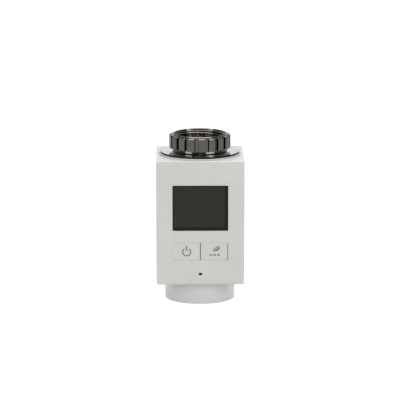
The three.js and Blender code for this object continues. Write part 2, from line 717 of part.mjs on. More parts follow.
add("display_lens", displayLens(), SCREEN_GLASS);
add("lcd_panel", lcdPanel(), SCREEN_GLASS);
add("lcd_frame", lcdFrame(), BLACK_PLASTIC);
add("main_board", mainBoard(), CIRCUIT_BOARD);
add("control_chip", block([4, BOARD.back + FIT, 50], [14, -16.3, 60]), BLACK_PLASTIC);
add("radio_shield", block([3, BOARD.back + FIT, 30], [18, -15.2, 44]), STEEL);
add("status_light_guide", statusLightGuide(), BLACK_PLASTIC);
for (const [name, side] of [["power", -1], ["eco", 1]]) {
  add(`${name}_button`, key(side), WHITE);
  add(`${name}_switch_case`, switchCase(side), BLACK_PLASTIC);
  add(`${name}_switch_stem`, switchStem(side), GREY_PLASTIC);
}

add("battery_tray", batteryTray(), GREY_PLASTIC);
const leftCellBottom = 18.5;
const rightCellTop = 67.9;
add("battery_left", cell(), CELL_WRAP, { at: [-CELL.x, CELL.y, leftCellBottom] });
add("battery_right", cell(), CELL_WRAP, { at: [CELL.x, CELL.y, rightCellTop], flip: true });
add("coil_contact_left", coilContact(), STEEL, { at: [-CELL.x, CELL.y, TRAY.floor + 0.1] });
add("coil_contact_right", coilContact(), STEEL, { at: [CELL.x, CELL.y, TRAY.ceiling - 0.1], flip: true });
const contactPlate = (bottom) => block([-3.5, -3.5, bottom], [3.5, 3.5, bottom + 0.3]);
add("plate_contact_left", contactPlate(68.75), STEEL, { at: [-CELL.x, CELL.y, 0] });
add("plate_contact_right", contactPlate(TRAY.floor + FIT), STEEL, { at: [CELL.x, CELL.y, 0] });

add("gearbox_base", gearboxBase(), BLACK_PLASTIC);
add("gearbox_cover", gearboxCover(), BLACK_PLASTIC);
add("drive_gear", driveGear(), ACETAL);
add("idler_gear_1", idlerGear(72.3, 74.0, FINE_PINION, FINE, 76.6), ACETAL, {
  at: [...IDLER_1_AT, 0],
  turn: idler1Phase,
});
add("idler_gear_2", idlerGear(74.7, 76.4, COARSE_PINION, COARSE, 82.0), ACETAL, {
  at: [...IDLER_2_AT, 0],
  turn: idler2Phase,
});
axlePlaces.forEach((place, k) => {
  const axle = rod(AXLE_RADIUS, GEARBOX.baseBottom + 0.5, GEARBOX.coverTop - 0.5, place, 12);
  add(`idler_axle_${k + 1}`, axle, STEEL);
});
add("thrust_washer", turned([[3.5, 72.0], [4.6, 72.0], [4.6, 72.5], [3.5, 72.5]], 24), STEEL);
add("motor_can", motorCan(), STEEL, { at: [...MOTOR_AT, 0] });
add("motor_end_cap", motorEndCap(), BLACK_PLASTIC, { at: [...MOTOR_AT, 0] });
add("motor_pinion", motorPinion(), BRASS, { at: [...MOTOR_AT, 0], turn: motorPhase });
add("motor_lead_red", motorLead(-1), RED_SLEEVE);
add("motor_lead_black", motorLead(1), BLACK_SLEEVE);

add("knob", knobBody(), WHITE_KNOB);
add("knob_cap", knobCap(), WHITE_KNOB);
add("knob_clip", knobClip(), STEEL);
add("knob_gear", knobGear(), ACETAL);
add("encoder_gear", encoderGear(), ACETAL, { at: [...ENCODER_AT, 0], turn: encoderPhase });
add("encoder_case", encoderCase(), BLACK_PLASTIC);
add("encoder_board", block([-8, -17.2, 24.75], [8, -2, 26.35]), CIRCUIT_BOARD);

pillarPlaces.forEach(([x, y], k) => {
  add(`base_screw_${k + 1}`, screw(2.1, 1.0, 1.1, 9), STEEL, { at: [x, y, BASE_PLATE.bottom + 1.0] });
});
flangeScrewPlaces.forEach(([x, y], k) => {
  add(`flange_screw_${k + 1}`, screw(1.7, 1.0, 1.0, 3.7), STEEL, { at: [x, y, GEARBOX.coverBottom - 0.1] });
});
postPlaces.forEach(([x, y], k) => {
  add(`gearbox_screw_${k + 1}`, screw(1.8, 1.0, 1.0, 7.6), STEEL, { at: [x, y, GEARBOX.baseBottom - 0.1] });
});

export default assembly;
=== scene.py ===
"""The looks of the motorised actuator head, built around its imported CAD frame.

Lengths are in millimetres, and MM turns them into metres. +Z runs up through the union nut, and the display
faces -Y.
"""
import math

import bmesh
import bpy
from mathutils import Matrix, Vector


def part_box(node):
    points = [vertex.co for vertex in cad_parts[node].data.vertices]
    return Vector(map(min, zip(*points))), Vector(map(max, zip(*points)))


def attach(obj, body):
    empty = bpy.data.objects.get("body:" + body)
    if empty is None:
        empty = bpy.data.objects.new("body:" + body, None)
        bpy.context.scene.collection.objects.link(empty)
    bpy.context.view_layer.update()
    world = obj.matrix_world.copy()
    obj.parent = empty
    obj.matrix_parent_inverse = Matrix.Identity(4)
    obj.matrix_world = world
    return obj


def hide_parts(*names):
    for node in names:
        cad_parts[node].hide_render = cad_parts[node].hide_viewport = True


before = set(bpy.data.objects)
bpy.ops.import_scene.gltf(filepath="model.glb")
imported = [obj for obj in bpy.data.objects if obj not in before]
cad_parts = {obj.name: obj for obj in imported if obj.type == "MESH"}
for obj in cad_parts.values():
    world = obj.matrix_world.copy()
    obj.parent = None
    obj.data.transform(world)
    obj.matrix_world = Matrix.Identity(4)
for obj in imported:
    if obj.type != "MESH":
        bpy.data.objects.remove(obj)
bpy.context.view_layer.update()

MM = 0.001
TAU = 2 * math.pi


def box_mm(node):
    """The lowest and highest corner of a CAD node, in millimetres."""
    low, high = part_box(node)
    return low / MM, high / MM


# ---------------------------------------------------------------- driving sizes, many read from the frame
HOUSING_LOW, HOUSING_HIGH = box_mm("housing")
PLATE_LOW, PLATE_HIGH = box_mm("bottom_plate")
DOOR_LOW, DOOR_HIGH = box_mm("battery_cover")
LENS_LOW, LENS_HIGH = box_mm("display_lens")
KEY_LOW, KEY_HIGH = box_mm("power_button")
DISC_LOW, DISC_HIGH = box_mm("flange_plate")
NUT_LOW, NUT_HIGH = box_mm("union_nut")
KNOB_HIGH = box_mm("knob")[1]

HALF = HOUSING_HIGH.x  # half the square housing's width
WALL = 2.2
INNER = HALF - WALL
SEAT_RADIUS = 23.8
SEAT_RISE = 0.8  # how far the round seat stands above the body's top
BODY_BOTTOM = HOUSING_LOW.z
BODY_TOP = HOUSING_HIGH.z - SEAT_RISE
BODY_CORNER = 1.0
BODY_TOP_EDGE = 0.5
BODY_BOTTOM_EDGE = 1.2
BODY_BOTTOM_TAPER = 0.15  # how far the lowest stretch leans in
BODY_TAPER_HEIGHT = 5.0
OPENING_EDGE = 0.22  # radius of the moulded edge round the battery opening and its cover

SCREEN = {"left": -16.4, "right": 16.4, "low": 45.6, "high": 72.75, "corner": 0.4, "edge": 0.1}
KEYS = {"left": -16.25, "right": 16.3, "low": 28.0, "high": 38.35, "corner": 0.4, "edge": 0.06}
STATUS = {"left": -1.05, "right": 1.05, "low": 18.77, "high": 20.13, "corner": 0.15, "edge": 0.06}
MARK_RELIEF = 0.03  # how far the printed marks stand proud of a key
MARK_ROOT = 0.12  # how far they reach into it
DOOR_CORNER = 1.5
DOOR_GAP = 0.2

NUT_RIBS = 18
NUT_TIP = NUT_HIGH.x
NUT_BODY = 16.4  # radius of the collar, and of the grooves between the ribs
RIB_LOW = 91.2
RIB_HIGH = 99.0
FIRST_GROOVE = math.radians(-90 + 13)
NUT_MAJOR = 14.9  # outer and inner radius of the nut's thread
NUT_MINOR = 14.2
NUT_NECK_HOLE = 12.4
THREAD_PITCH = 1.5
DISC_BOTTOM = 88.1
DISC_TOP = 89.2


# ---------------------------------------------------------------- meshes
def new_object(name, bm, material, body, smooth_angle=32, replaces=()):
    """Makes a finished piece of a bmesh in millimetres, and fastens it to its body."""
    bmesh.ops.remove_doubles(bm, verts=bm.verts, dist=1e-4)
    bmesh.ops.recalc_face_normals(bm, faces=bm.faces)
    bm.transform(Matrix.Diagonal((MM, MM, MM, 1)))
    mesh = bpy.data.meshes.new(name)
    bm.to_mesh(mesh)
    bm.free()
    piece = bpy.data.objects.new(name, mesh)
    bpy.context.scene.collection.objects.link(piece)
    mesh.materials.append(material)
    shade(piece, smooth_angle)
    if replaces:
        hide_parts(*replaces)
    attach(piece, body)
    return piece


def shade(piece, angle):
    """Smooth shading with sharp edges above an angle, and flat faces kept flat."""
    mesh = piece.data
    mesh.polygons.foreach_set("use_smooth", [True] * len(mesh.polygons))
    mesh.set_sharp_from_angle(angle=math.radians(angle))
    normals = piece.modifiers.new("flat faces stay flat", "WEIGHTED_NORMAL")
    normals.keep_sharp = True
    normals.weight = 90


def fillet(points, steps=6):
    """Rounds the corners of an outline. Each point is (x, y) or (x, y, radius)."""
    out = []
    count = len(points)
    for k, point in enumerate(points):
        radius = point[2] if len(point) > 2 else 0
        here = Vector(point[:2])
        if radius <= 0:
            out.append(tuple(here))
            continue
        before = Vector(points[k - 1][:2]) - here
        after = Vector(points[(k + 1) % count][:2]) - here
        half_turn = before.angle(after) / 2
        reach = min(radius / math.tan(half_turn), 0.49 * before.length, 0.49 * after.length)
        start = here + before.normalized() * reach
        end = here + after.normalized() * reach
        for step in range(steps + 1):
            t = step / steps
            # a quadratic curve from start to end that bends at the corner
            spot = start * (1 - t) ** 2 + here * 2 * t * (1 - t) + end * t * t
            out.append(tuple(spot))
    return out


def divided(points, longest):
    """The same line with its long stretches cut into shorter ones."""
    out = []
    for (x0, y0), (x1, y1) in zip(points, points[1:]):
        count = max(1, math.ceil(math.hypot(x1 - x0, y1 - y0) / longest))
        out += [(x0 + (x1 - x0) * k / count, y0 + (y1 - y0) * k / count) for k in range(count)]
    return out + [points[-1]]


def bridge(bm, ring_a, ring_b):
    """Quads between two rings of vertices with the same count."""
    count = len(ring_a)
    for k in range(count):
        nxt = (k + 1) % count
        bm.faces.new((ring_a[k], ring_a[nxt], ring_b[nxt], ring_b[k]))


def lathe(profile, segments=128, closed=False):
    """A bmesh turned about Z from (radius, z) points. An open profile starts and ends on the axis."""
    bm = bmesh.new()
    rings = []
    for radius, z in profile:
        if radius < 1e-6:
            rings.append([bm.verts.new((0, 0, z))])
            continue
        angles = [TAU * k / segments for k in range(segments)]
        rings.append([bm.verts.new((radius * math.cos(a), radius * math.sin(a), z)) for a in angles])
    pairs = list(zip(rings, rings[1:]))
    if closed:
        pairs.append((rings[-1], rings[0]))
    for ring_a, ring_b in pairs:
        if len(ring_a) == 1 or len(ring_b) == 1:
            tip, ring = (ring_a[0], ring_b) if len(ring_a) == 1 else (ring_b[0], ring_a)
            for k in range(segments):
                bm.faces.new((tip, ring[k], ring[(k + 1) % segments]))
        else:
            bridge(bm, ring_a, ring_b)
    return bm


def loft(rings, close=False):
    """A bmesh through rings of points with the same count, capped at both ends unless it closes on itself."""
    bm = bmesh.new()
    made = [[bm.verts.new(point) for point in ring] for ring in rings]
    for ring_a, ring_b in zip(made, made[1:]):
        bridge(bm, ring_a, ring_b)
    if close:
        bridge(bm, made[-1], made[0])
    else:
        bm.faces.new(made[0])
        bm.faces.new(list(reversed(made[-1])))
    return bm


def rounded_rectangle(x0, y0, x1, y1, radius, steps=8):
    """Points round a rectangle with round corners, anticlockwise."""
    centres = [(x1 - radius, y1 - radius), (x0 + radius, y1 - radius),
               (x0 + radius, y0 + radius), (x1 - radius, y0 + radius)]
    points = []
    for quarter, (cx, cy) in enumerate(centres):
        for step in range(steps + 1):
            angle = (quarter + step / steps) * TAU / 4
            points.append((cx + radius * math.cos(angle), cy + radius * math.sin(angle)))
    return points


def slab(x0, z0, x1, z1, corner, levels, steps=8):
    """A panel in X and Z. Each level is (inset, y), and a negative inset makes the outline larger."""
    rings = []
    for inset, y in levels:
        radius = max(corner - inset, 0.02)
        outline = rounded_rectangle(x0 + inset, z0 + inset, x1 - inset, z1 - inset, radius, steps)
        rings.append([(x, y, z) for x, z in outline])
    return loft(rings)


def edge_levels(front, back, radius, steps=4):
    """Levels of a panel whose front and back edges are rounded."""
    levels = []
    for step in range(steps + 1):
        angle = step / steps * TAU / 4
        levels.append((radius * (1 - math.sin(angle)), front + radius * (1 - math.cos(angle))))
    for step in range(steps + 1):
        angle = step / steps * TAU / 4
        levels.append((radius * (1 - math.cos(angle)), back - radius * (1 - math.sin(angle))))
    return levels


def opening_levels(face, outwards, through, radius=OPENING_EDGE, steps=4):
    """Levels of a cutter that leaves a rounded edge round the opening it makes in a wall's face."""
    levels = [(-radius, face + outwards * 1.0)]
    for step in range(steps + 1):
        angle = step / steps * TAU / 4
        levels.append((-radius * (1 - math.sin(angle)), face - outwards * radius * (1 - math.cos(angle))))
    levels.append((0, through))
    return levels


def tube(points, radius, sides=12, closed=False):
    """A round wire through points."""
    spots = [Vector(p) for p in points]
    rings = []
    normal = None
    for k, spot in enumerate(spots):
        ahead = (spots[min(k + 1, len(spots) - 1)] - spots[max(k - 1, 0)]).normalized()
        if normal is None:
            normal = ahead.orthogonal().normalized()
        normal = (normal - ahead * normal.dot(ahead)).normalized()
        side = ahead.cross(normal)
        turns = [TAU * step / sides for step in range(sides)]
        rings.append([tuple(spot + radius * (math.cos(a) * normal + math.sin(a) * side)) for a in turns])
    return loft(rings, close=closed)


def merge(*parts):
    """Several bmeshes as one."""
    whole = parts[0]
    for part in parts[1:]:
        scratch = bpy.data.meshes.new("scratch")
        part.to_mesh(scratch)
        part.free()
        whole.from_mesh(scratch)
        bpy.data.meshes.remove(scratch)
    return whole


def boolean(bm, operations):
    """Cuts or joins bmeshes exactly. Each operation is ("DIFFERENCE" or "UNION", bmesh)."""
    def holder(body, name):
        bmesh.ops.recalc_face_normals(body, faces=body.faces)
        mesh = bpy.data.meshes.new(name)
        body.to_mesh(mesh)
        body.free()
        made = bpy.data.objects.new(name, mesh)
        bpy.context.scene.collection.objects.link(made)
        return made

    target = holder(bm, "target")
    tools = []
    for kind, tool_mesh in operations:
        tool = holder(tool_mesh, "tool")
        step = target.modifiers.new(kind, "BOOLEAN")
        step.operation = kind
        step.solver = "EXACT"
        step.object = tool
        tools.append(tool)
    bpy.context.view_layer.update()
    evaluated = target.evaluated_get(bpy.context.evaluated_depsgraph_get())
    result = bmesh.new()
    result.from_mesh(evaluated.to_mesh())
    for used in [target, *tools]:
        mesh = used.data
        bpy.data.objects.remove(used)
        bpy.data.meshes.remove(mesh)
    return result


def moved(bm, x=0.0, y=0.0, z=0.0):
    """The same bmesh in another place."""
    bmesh.ops.translate(bm, verts=bm.verts, vec=(x, y, z))
    return bm


def block(low, high, edge=0.15):
    """A box between two corners with chamfered edges."""
    levels = edge_levels(low[1], high[1], edge, 2)
    return slab(low[0], low[2], high[0], high[2], edge, levels, 2)


# ---------------------------------------------------------------- materials
def nodes_of(name):
    """A new material with its node tree and its main shader."""
    material = bpy.data.materials.new(name)
    material.use_nodes = True
    tree = material.node_tree
    return material, tree, tree.nodes["Principled BSDF"]


def coordinates(tree, kind):
    """A node that gives X, Y and Z of the object's own place, or of a direction in the sky."""
    place = tree.nodes.new("ShaderNodeTexCoord")
    split = tree.nodes.new("ShaderNodeSeparateXYZ")
    tree.links.new(place.outputs[kind], split.inputs["Vector"])
    return split


def noise(tree, scale, detail=3.0, stretch=None):
    """A noise texture in the object's own coordinates. scale counts features in a metre."""
    place = tree.nodes.new("ShaderNodeTexCoord")
    texture = tree.nodes.new("ShaderNodeTexNoise")
    texture.inputs["Scale"].default_value = scale
    texture.inputs["Detail"].default_value = detail
    if stretch:
        mapping = tree.nodes.new("ShaderNodeMapping")
        mapping.inputs["Scale"].default_value = stretch
        tree.links.new(place.outputs["Object"], mapping.inputs["Vector"])
        tree.links.new(mapping.outputs["Vector"], texture.inputs["Vector"])
    else:
        tree.links.new(place.outputs["Object"], texture.inputs["Vector"])
    return texture.outputs["Fac"]


def spread(tree, value, low, high, start=0.3, end=0.7):
    """Maps a value to a range."""
    ramp = tree.nodes.new("ShaderNodeMapRange")
    ramp.inputs["From Min"].default_value = start
    ramp.inputs["From Max"].default_value = end
    ramp.inputs["To Min"].default_value = low
    ramp.inputs["To Max"].default_value = high
    tree.links.new(value, ramp.inputs["Value"])
    return ramp.outputs["Result"]


def blend_colours(tree, factor, first, second):
    """Mixes two colours by a factor from 0 to 1."""
    mix = tree.nodes.new("ShaderNodeMix")
    mix.data_type = "RGBA"
    factor_input, first_input, second_input, colour_output = 0, 6, 7, 2
    mix.inputs[first_input].default_value = (*first, 1)
    mix.inputs[second_input].default_value = (*second, 1)
    tree.links.new(factor, mix.inputs[factor_input])
    return mix.outputs[colour_output]


def combine(tree, operation, first, second):
    """Joins two values by a sum, a maximum or the like."""
    node = tree.nodes.new("ShaderNodeMath")
    node.operation = operation
    tree.links.new(first, node.inputs[0])
    tree.links.new(second, node.inputs[1])
    return node.outputs[0]


def dimmed(colour, share):
    return tuple(c * share for c in colour)


def bump(tree, shader, height, depth_mm):
    """Lets a height map tilt the shader's surface."""
    node = tree.nodes.new("ShaderNodeBump")
    node.inputs["Strength"].default_value = 1.0
    node.inputs["Distance"].default_value = depth_mm * MM
    tree.links.new(height, node.inputs["Height"])
    tree.links.new(node.outputs["Normal"], shader.inputs["Normal"])


def plastic(name, colour, roughness, grain=9000, depth=0.006, tone=0.03, gloss=0.5, scatter=0.0):
    """Moulded plastic: a fine eroded grain, slow tone changes, and patches that are polished a little."""
    material, tree, shader = nodes_of(name)
    patches = spread(tree, noise(tree, 60, 4), 0, 1)
    shades = blend_colours(tree, patches, dimmed(colour, 1 - tone), dimmed(colour, 1 + tone))
    tree.links.new(shades, shader.inputs["Base Color"])
    rubbed = spread(tree, noise(tree, 350, 5), roughness - 0.04, roughness + 0.05)
    tree.links.new(rubbed, shader.inputs["Roughness"])
    shader.inputs["Specular IOR Level"].default_value = gloss
    if scatter:
        shader.inputs["Subsurface Weight"].default_value = scatter
        shader.inputs["Subsurface Scale"].default_value = 0.6 * MM
    bump(tree, shader, noise(tree, grain, 2), depth)
    return material


def polished_metal(name, colour, roughness, depth=0.0008, smudge=0.05):
    """Plated metal: nearly a mirror, with faint polishing marks and smudges."""
    material, tree, shader = nodes_of(name)
    shader.inputs["Metallic"].default_value = 1.0
    cloudy = spread(tree, noise(tree, 220, 5), 0, 1)
    tree.links.new(blend_colours(tree, cloudy, dimmed(colour, 0.86), colour), shader.inputs["Base Color"])
    smudged = spread(tree, noise(tree, 500, 6), roughness, roughness + smudge)
    tree.links.new(smudged, shader.inputs["Roughness"])
    bump(tree, shader, noise(tree, 2600, 4), depth)
    return material


def brushed_metal(name, colour, roughness, along=(1, 1, 14)):
    """Drawn or turned steel: fine lines across one direction."""
    material, tree, shader = nodes_of(name)
    shader.inputs["Metallic"].default_value = 1.0
    lines = noise(tree, 1400, 4, along)
    shades = blend_colours(tree, spread(tree, lines, 0, 1), dimmed(colour, 0.82), colour)
    tree.links.new(shades, shader.inputs["Base Color"])
    tree.links.new(spread(tree, lines, roughness - 0.06, roughness + 0.1), shader.inputs["Roughness"])
    bump(tree, shader, lines, 0.004)
    return material


def window_material(name, colour):
    """A smooth tinted window with a darker border, partly the panel's dark mask and partly painted shade of
    the recess round it, which is wider at the right and at the bottom.
    """
    material, tree, shader = nodes_of(name)
    split = coordinates(tree, "Object")
    wide, narrow = (2.4, 1.6), (0.9, 0.5)  # where the darker border with its painted recess shade starts and is full, in from an edge
    wide_low = (2.6, 1.8)
    sides = [("X", SCREEN["right"], -1, wide), ("X", SCREEN["left"], 1, narrow),
             ("Z", SCREEN["low"], 1, wide_low), ("Z", SCREEN["high"], -1, narrow)]
    masks_and_recess_shades = []
    for axis, edge, inwards, (start, full) in sides:
        place = split.outputs[axis]
        masks_and_recess_shades.append(spread(tree, place, 0, 1, (edge + inwards * start) * MM, (edge + inwards * full) * MM))
    mask_and_recess_shade = masks_and_recess_shades[0]
    for other in masks_and_recess_shades[1:]:
        mask_and_recess_shade = combine(tree, "MAXIMUM", mask_and_recess_shade, other)
    # darker towards the edges: partly the panel's dark mask, partly painted shade where the recess shades the
    # window
    tree.links.new(blend_colours(tree, mask_and_recess_shade, colour, dimmed(colour, 0.3)), shader.inputs["Base Color"])
    tree.links.new(spread(tree, noise(tree, 600, 4), 0.05, 0.1), shader.inputs["Roughness"])
    shader.inputs["Specular IOR Level"].default_value = 0.12
    bump(tree, shader, noise(tree, 90, 2), 0.004)
    return material


def board_material(name):
    """Green solder mask over copper tracks, which show as slightly lighter bands."""
    material, tree, shader = nodes_of(name)
    place = tree.nodes.new("ShaderNodeTexCoord")
    tracks = tree.nodes.new("ShaderNodeTexBrick")
    tracks.inputs["Scale"].default_value = 300
    tracks.inputs["Mortar Size"].default_value = 0.03
    tracks.inputs["Color1"].default_value = (0.004, 0.06, 0.02, 1)
    tracks.inputs["Color2"].default_value = (0.006, 0.075, 0.025, 1)
    tracks.inputs["Mortar"].default_value = (0.015, 0.14, 0.05, 1)
    mapping = tree.nodes.new("ShaderNodeMapping")
    mapping.inputs["Rotation"].default_value = (TAU / 4, 0, 0)
    tree.links.new(place.outputs["Object"], mapping.inputs["Vector"])
    tree.links.new(mapping.outputs["Vector"], tracks.inputs["Vector"])
    tree.links.new(tracks.outputs["Color"], shader.inputs["Base Color"])
    tree.links.new(spread(tree, noise(tree, 400, 3), 0.28, 0.4), shader.inputs["Roughness"])
    bump(tree, shader, tracks.outputs["Fac"], 0.02)
    return material


WHITE = plastic("white_body", (0.351, 0.351, 0.335), 0.38, depth=0.003, gloss=0.4)
WHITE_KNOB = plastic("white_knob", (0.396, 0.396, 0.388), 0.42, depth=0.003, gloss=0.35)
BLACK_NICKEL = polished_metal("black_nickel", (0.089, 0.084, 0.076), 0.06)
MIRROR_NICKEL = polished_metal("mirror_nickel", (0.74, 0.73, 0.755), 0.03, depth=0.0001, smudge=0.03)
WINDOW = window_material("display_window", (0.0118, 0.0127, 0.0086))
PRINT = plastic("grey_print", (0.095, 0.097, 0.088), 0.5, tone=0.05)
BLACK = plastic("black_plastic", (0.018, 0.018, 0.019), 0.42)
# a black matte material for the edge of the flange disc
BLACK_RIM = plastic("black_rim_matte", (0.006, 0.0055, 0.005), 0.7, gloss=0.12)
GREY = plastic("grey_plastic", (0.26, 0.27, 0.28), 0.45)
ACETAL = plastic("natural_acetal", (0.74, 0.72, 0.64), 0.35, depth=0.003, scatter=0.1)
STEEL = brushed_metal("plain_steel", (0.56, 0.57, 0.58), 0.3)
SPRING_STEEL = brushed_metal("spring_steel", (0.42, 0.43, 0.44), 0.25)
BOARD = board_material("green_board")
WRAP = plastic("cell_wrap", (0.02, 0.045, 0.13), 0.28, depth=0.002, gloss=0.6)
WRAP_BAND = plastic("cell_band", (0.55, 0.36, 0.12), 0.3, depth=0.002, gloss=0.6)
RED = plastic("red_sleeve", (0.42, 0.018, 0.012), 0.45)
SLEEVE = plastic("black_sleeve", (0.014, 0.014, 0.014), 0.45)
STATUS_WINDOW = plastic("status_window", (0.003, 0.003, 0.003), 0.35, gloss=0.1)


# ---------------------------------------------------------------- housing
def quarter_turn(steps):
    """Sine and cosine along a quarter of a turn."""
    angles = [step / steps * TAU / 4 for step in range(steps + 1)]
    return [(math.sin(angle), math.cos(angle)) for angle in angles]


def body_block():
    """The square body with round upright edges and rounded top and bottom edges."""
    bottom_edge = BODY_BOTTOM_EDGE - BODY_BOTTOM_TAPER
    levels = [(BODY_BOTTOM_TAPER + bottom_edge * (1 - sine), BODY_BOTTOM + BODY_BOTTOM_EDGE * (1 - cosine))
              for sine, cosine in quarter_turn(8)]
    levels.append((0, BODY_BOTTOM + BODY_TAPER_HEIGHT))
    levels += [(BODY_TOP_EDGE * (1 - cosine), BODY_TOP - BODY_TOP_EDGE * (1 - sine))
               for sine, cosine in quarter_turn(8)]
    rings = []
    for inset, z in levels:
        reach = HALF - inset
        outline = rounded_rectangle(-reach, -reach, reach, reach, max(BODY_CORNER - inset, 0.15))
        rings.append([(x, y, z) for x, y in outline])
    return loft(rings)


def housing():
    """The shell: the hollow body, its round seat with a groove round the foot, and the wall openings."""
    neck_hole_radius = 14.3
    below, above = BODY_TOP - 4, BODY_TOP + 3
    neck_hole = [(0, below), (neck_hole_radius, below), (neck_hole_radius, above), (0, above)]
    seat_root = BODY_TOP - 0.8
    seat_top = HOUSING_HIGH.z
    seat = fillet([(0, seat_root), (SEAT_RADIUS, seat_root), (SEAT_RADIUS, seat_top, 0.4), (0, seat_top)])
    groove_width, groove_floor = 0.5, BODY_TOP - 0.45
    foot = [(SEAT_RADIUS, groove_floor), (SEAT_RADIUS + groove_width, groove_floor),
            (SEAT_RADIUS + groove_width + 0.05, BODY_TOP + 1), (SEAT_RADIUS, BODY_TOP + 1)]
    inside = rounded_rectangle(-INNER, -INNER, INNER, INNER, 0.8)
    cavity = loft([[(x, y, z) for x, y in inside] for z in (BODY_BOTTOM - 1, BODY_TOP - 2)])
    operations = [("DIFFERENCE", cavity), ("DIFFERENCE", lathe(foot, 160, closed=True)),
                  ("UNION", lathe(seat, 160)), ("DIFFERENCE", lathe(neck_hole, 96))]
    for hole in (SCREEN, KEYS, STATUS):
        levels = opening_levels(-HALF, -1, -INNER + 1, hole["edge"])
        cutter = slab(hole["left"], hole["low"], hole["right"], hole["high"], hole["corner"], levels)
        operations.append(("DIFFERENCE", cutter))
    gap = Vector((DOOR_GAP, 0, DOOR_GAP))
    low, high = DOOR_LOW - gap, DOOR_HIGH + gap
    levels = opening_levels(HALF, 1, INNER - 1)
    operations.append(("DIFFERENCE", slab(low.x, low.z, high.x, high.z, DOOR_CORNER + DOOR_GAP, levels)))
    shell = boolean(body_block(), operations)
    return new_object("housing_shell", shell, WHITE, "housing", 30, ["housing"])


def bottom_plate():
    """The plate under the body, with the hole for the knob's hub and four stepped screw holes."""
    reach, corner = PLATE_HIGH.x, 1.5
    bottom, top = PLATE_LOW.z, PLATE_HIGH.z
    rings = []
    for inset, z in edge_levels(bottom, top, 0.25, 3):
        side = reach - inset
        rings.append([(x, y, z) for x, y in rounded_rectangle(-side, -side, side, side, corner - inset)])
    hub, chamfer = 6.7, 0.25
    hub_hole = [(0, bottom - 1), (hub + chamfer, bottom - 1), (hub + chamfer, bottom),
                (hub, bottom + chamfer), (hub, top + 1), (0, top + 1)]
    operations = [("DIFFERENCE", lathe(hub_hole, 96))]
    head, shank, sink = 2.5, 1.45, bottom + 1.1
    screw_hole = [(0, bottom - 1), (head + 0.15, bottom - 1), (head + 0.15, bottom), (head, bottom + 0.15),
                  (head, sink), (shank, sink), (shank, top + 1), (0, top + 1)]
    for number in range(1, 5):
        low, high = box_mm(f"base_screw_{number}")
        centre = (low + high) / 2
        operations.append(("DIFFERENCE", moved(lathe(screw_hole, 32), centre.x, centre.y)))
    plate = boolean(loft(rings), operations)
    return new_object("bottom_plate_skin", plate, WHITE, "housing", 30, ["bottom_plate"])


def battery_door():
    """The back cover: a flush panel with a thumb recess, grip ribs in it and two legs inside."""
    levels = edge_levels(INNER + 0.2, HALF, OPENING_EDGE, 4)
    skin = slab(DOOR_LOW.x, DOOR_LOW.z, DOOR_HIGH.x, DOOR_HIGH.z, DOOR_CORNER, levels)
    leg_near, leg_far, leg_low, leg_high = 15.4, 16.4, 40, 47
    operations = []
    for side in (-1, 1):
        left, right = sorted((side * leg_near, side * leg_far))
        operations.append(("UNION", block((left, DOOR_LOW.y, leg_low), (right, INNER + 0.6, leg_high))))
    thumb_z = DOOR_HIGH.z - 9
    ball_radius, recess_depth = 9.0, 1.1
    thumb = bmesh.new()
    bmesh.ops.create_uvsphere(thumb, u_segments=96, v_segments=64, radius=ball_radius)
    operations.append(("DIFFERENCE", moved(thumb, 0, HALF + ball_radius - recess_depth, thumb_z)))
    rib_pitch, rib_radius, rib_reach, rib_curve = 1.5, 0.28, 2.6, 0.06
    for rib in (-1, 0, 1):
        reach = rib_reach - 0.5 * abs(rib)
        along = [reach * step / 4 for step in range(-4, 5)]
        line = [(x, HALF - 0.95 + rib_curve * x * x, thumb_z + rib_pitch * rib) for x in along]
        operations.append(("UNION", tube(line, rib_radius)))
    return new_object("battery_cover_skin", boolean(skin, operations), WHITE, "battery_cover", 30,
                      ["battery_cover"])


# ---------------------------------------------------------------- front: window, keys and their marks
def display_window():
    """The window's pane with fine rounded edges, and the lip that holds it behind the wall."""
    gap = 0.08
    lip_thickness = 0.75
    pane = slab(SCREEN["left"] + gap, SCREEN["low"] + gap, SCREEN["right"] - gap, SCREEN["high"] - gap,
                SCREEN["corner"] - gap, edge_levels(LENS_LOW.y, LENS_HIGH.y - 0.05, 0.06, 3))
    lip = block((LENS_LOW.x, LENS_HIGH.y - lip_thickness, LENS_LOW.z), LENS_HIGH)
    return new_object("window", boolean(pane, [("UNION", lip)]), WINDOW, "housing", 30, ["display_lens"])


def key(side, reach, name, body):
    """One key: its cap with rounded edges and the lip that keeps it behind the wall."""
    half_split, low, high = 0.2, 28.1, 38.3
    left, right = sorted((side * half_split, side * reach))
    front, back = KEY_LOW.y, KEY_HIGH.y
    cap = slab(left, low, right, high, 0.3, edge_levels(front + MARK_RELIEF, back - 0.3, 0.07, 3))
    lip_width, lip_thickness = 0.9, 0.7
    lip_left = left - lip_width if side < 0 else left
    lip_right = right + lip_width if side > 0 else right
    lip = block((lip_left, back - lip_thickness, KEY_LOW.z), (lip_right, back, KEY_HIGH.z), 0.1)
    return new_object(name, boolean(cap, [("UNION", lip)]), WHITE, body, 30, [body])


def flat_mark(outline):
    """A printed mark: an outline in X and Z, from just inside the key to its proudest plane."""
    front = KEY_LOW.y
    root = front + MARK_RELIEF + MARK_ROOT
    return loft([[(x, y, z) for x, z in outline] for y in (front, root)])


def bar_outline(start, end, width):
    """A straight stroke with round ends."""
    a, b = Vector(start), Vector(end)
    turn = math.atan2(b.y - a.y, b.x - a.x)
    points = []
    for centre, first in ((b, turn - TAU / 4), (a, turn + TAU / 4)):
        for step in range(9):
            angle = first + step / 8 * TAU / 2
            points.append((centre.x + width / 2 * math.cos(angle), centre.y + width / 2 * math.sin(angle)))
    return points


